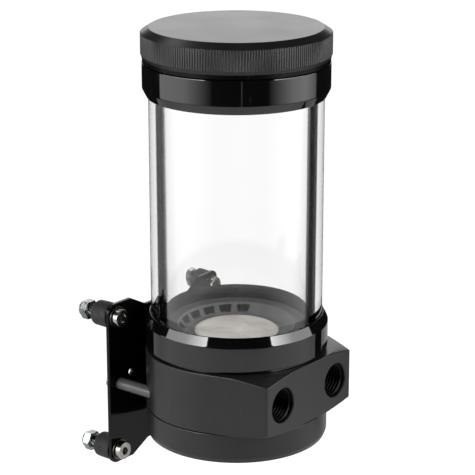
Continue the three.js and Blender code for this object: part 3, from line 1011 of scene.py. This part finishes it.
# ---- Camera, floor and studio light --------------------------------------------

CAMERA_PLACE = Vector((-0.5429, -0.4303, 0.2894))
CAMERA_LOOK = Vector((0.74983, 0.59367, -0.29209))
CAMERA_LENS = 144.8

camera_data = bpy.data.cameras.new("camera")
camera_data.lens = CAMERA_LENS
camera_data.sensor_width = 36.0
camera = bpy.data.objects.new("camera", camera_data)
camera.location = CAMERA_PLACE
camera.rotation_mode = "QUATERNION"
camera.rotation_quaternion = CAMERA_LOOK.to_track_quat("-Z", "Y")
bpy.context.scene.collection.objects.link(camera)
bpy.context.scene.camera = camera
bpy.context.scene.view_settings.view_transform = "Standard"

FLOOR_HEIGHT = CAD_LOW.z - 0.03
TO_CAMERA = Vector((CAMERA_PLACE.x, CAMERA_PLACE.y, 0)).normalized()
TO_RIGHT = Vector((-TO_CAMERA.y, TO_CAMERA.x, 0))


def towards(degrees):
    """Horizontal direction at an angle from the camera's side, right side positive."""
    angle = math.radians(degrees)
    return TO_CAMERA * math.cos(angle) + TO_RIGHT * math.sin(angle)


def stage_mesh(name, solid, material):
    mesh = bpy.data.meshes.new(name)
    solid.to_mesh(mesh)
    solid.free()
    mesh.materials.append(material)
    thing = bpy.data.objects.new(name, mesh)
    bpy.context.scene.collection.objects.link(thing)
    return thing


def glow(name, strength, across=None, upward=None):
    """White light, or light that changes across and up a panel by rows of stops."""
    material = bpy.data.materials.new(name)
    material.use_nodes = True
    nodes = material.node_tree.nodes
    links = material.node_tree.links
    nodes.clear()
    emission = nodes.new("ShaderNodeEmission")
    emission.inputs["Strength"].default_value = strength
    output = nodes.new("ShaderNodeOutputMaterial")
    links.new(emission.outputs["Emission"], output.inputs["Surface"])
    if across:
        split = nodes.new("ShaderNodeSeparateXYZ")
        links.new(nodes.new("ShaderNodeTexCoord").outputs["UV"], split.inputs["Vector"])
        product = nodes.new("ShaderNodeVectorMath")
        product.operation = "MULTIPLY"
        for i, (axis, row) in enumerate((("X", across), ("Y", upward))):
            ramp = nodes.new("ShaderNodeValToRGB")
            set_stops(ramp, row)
            links.new(split.outputs[axis], ramp.inputs["Fac"])
            links.new(ramp.outputs["Color"], product.inputs[i])
        links.new(product.outputs["Vector"], emission.inputs["Color"])
    return material


def panel(name, start, end, distance, bottom, top, material):
    """A light panel curved round the object between two angles from the camera's side.
    Its UV runs from start to end and upward."""
    solid = bmesh.new()
    uv = solid.loops.layers.uv.new()
    steps = 24
    columns = []
    for k in range(steps + 1):
        out = towards(start + (end - start) * k / steps)
        foot = out * distance + Vector((0, 0, bottom))
        head = out * distance + Vector((0, 0, top))
        columns.append((solid.verts.new(foot), solid.verts.new(head)))
    for k in range(steps):
        face = solid.faces.new((columns[k][0], columns[k + 1][0], columns[k + 1][1], columns[k][1]))
        for loop, (across, up) in zip(face.loops, ((k, 0), (k + 1, 0), (k + 1, 1), (k, 1))):
            loop[uv].uv = (across / steps, up)
    thing = stage_mesh(name, solid, material)
    thing.visible_camera = False
    thing.visible_transmission = False
    return thing


def floor_material():
    """Pale paper, lit by a painted glow; the object sees the glow fall off towards the back, away
    from the lights.
    """
    finish = Finish("floor_paper", (0.18, 0.18, 0.18), 0.8)
    finish.shader.inputs["Emission Color"].default_value = (1, 1, 1, 1)
    forward = finish.nodes.new("ShaderNodeVectorMath")
    forward.operation = "DOT_PRODUCT"
    forward.inputs[1].default_value = TO_CAMERA
    finish.links.new(finish.place, forward.inputs[0])
    share = finish.nodes.new("ShaderNodeMapRange")
    share.inputs["From Min"].default_value = -0.06
    share.inputs["From Max"].default_value = 0.02
    share.inputs["To Min"].default_value = 0.40
    share.inputs["To Max"].default_value = 0.78
    finish.links.new(forward.outputs["Value"], share.inputs["Value"])
    # painted light: the glow is even for camera rays and graded for all others
    direct = finish.nodes.new("ShaderNodeLightPath").outputs["Is Camera Ray"]
    seen = finish.mix(direct, share.outputs["Result"], finish.ramp(direct, 0.94, 0.94))
    finish.drive("Emission Strength", seen)
    finish.bump(finish.noise(300), 0.02)
    return finish.material


floor = bmesh.new()
bmesh.ops.create_circle(floor, cap_ends=True, radius=0.285, segments=96)
moved(floor, Matrix.Translation((0, 0, FLOOR_HEIGHT)))
stage_mesh("floor", floor, floor_material())

dome = bmesh.new()
bmesh.ops.create_icosphere(dome, subdivisions=4, radius=6.0)
backdrop = stage_mesh("backdrop", dome, glow("backdrop_white", 1.05))
backdrop.visible_diffuse = False
backdrop.visible_glossy = False
backdrop.visible_shadow = False

# rows of (place, brightness): the panels' own, and what they share
EVEN = ((0.0, 1.0), (1.0, 1.0))
LEFT_ACROSS = ((0.0, 0.65), (0.3, 0.85), (0.52, 0.88), (1.0, 0.0))
RIGHT_ACROSS = ((0.0, 0.0), (0.45, 0.92), (0.70, 1.0), (0.87, 0.6), (1.0, 0.3))
SIDE_HEIGHT = ((0.0, 0.03), (0.4, 0.085), (0.65, 0.33), (0.85, 0.41), (1.0, 0.44))
panel("softbox_left", -103, -28, 0.55, -0.30, 0.08,
      glow("softbox_left", 7.0, LEFT_ACROSS, SIDE_HEIGHT))
panel("softbox_right", 37, 109, 0.55, -0.30, 0.08,
      glow("softbox_right", 7.0, RIGHT_ACROSS, SIDE_HEIGHT))
panel("top_softbox_left", -80, -38, 0.55, 0.08, 0.42,
      glow("top_softbox_left", 18.0, ((0.0, 0.31), (0.32, 0.36), (0.80, 0.8), (1.0, 1.0)), EVEN))
panel("top_softbox_right", 45, 88, 0.55, 0.08, 0.42,
      glow("top_softbox_right", 18.0, ((0.0, 1.0), (0.21, 0.75), (0.69, 0.30), (1.0, 0.26)), EVEN))
panel("low_softbox_left", -95, -80, 0.55, 0.08, 0.25,
      glow("low_softbox_left", 18.0, ((0.0, 0.25), (1.0, 0.31)), EVEN))
panel("low_softbox_right", 88, 104, 0.55, 0.08, 0.25,
      glow("low_softbox_right", 18.0, ((0.0, 0.26), (1.0, 0.22)), EVEN))
panel("slit_light", 5.6, 6.4, 0.55, -0.30, 0.20, glow("slit_light", 1.2))
panel("back_light", 162, 198, 0.95, 0.16, 0.78, glow("back_light", 1.65))
panel("corner_light", -150, -120, 0.60, 0.72, 1.0, glow("corner_light", 2.8))

flag = panel("black_flag", 105, 122, 0.15, FLOOR_HEIGHT, 0.015, glow("flag_black", 0.0))
flag.visible_diffuse = False
flag.visible_shadow = False

world = bpy.data.worlds.new("studio")
world.use_nodes = True
world.node_tree.nodes["Background"].inputs["Color"].default_value = (0.01, 0.01, 0.01, 1)
bpy.context.scene.world = world
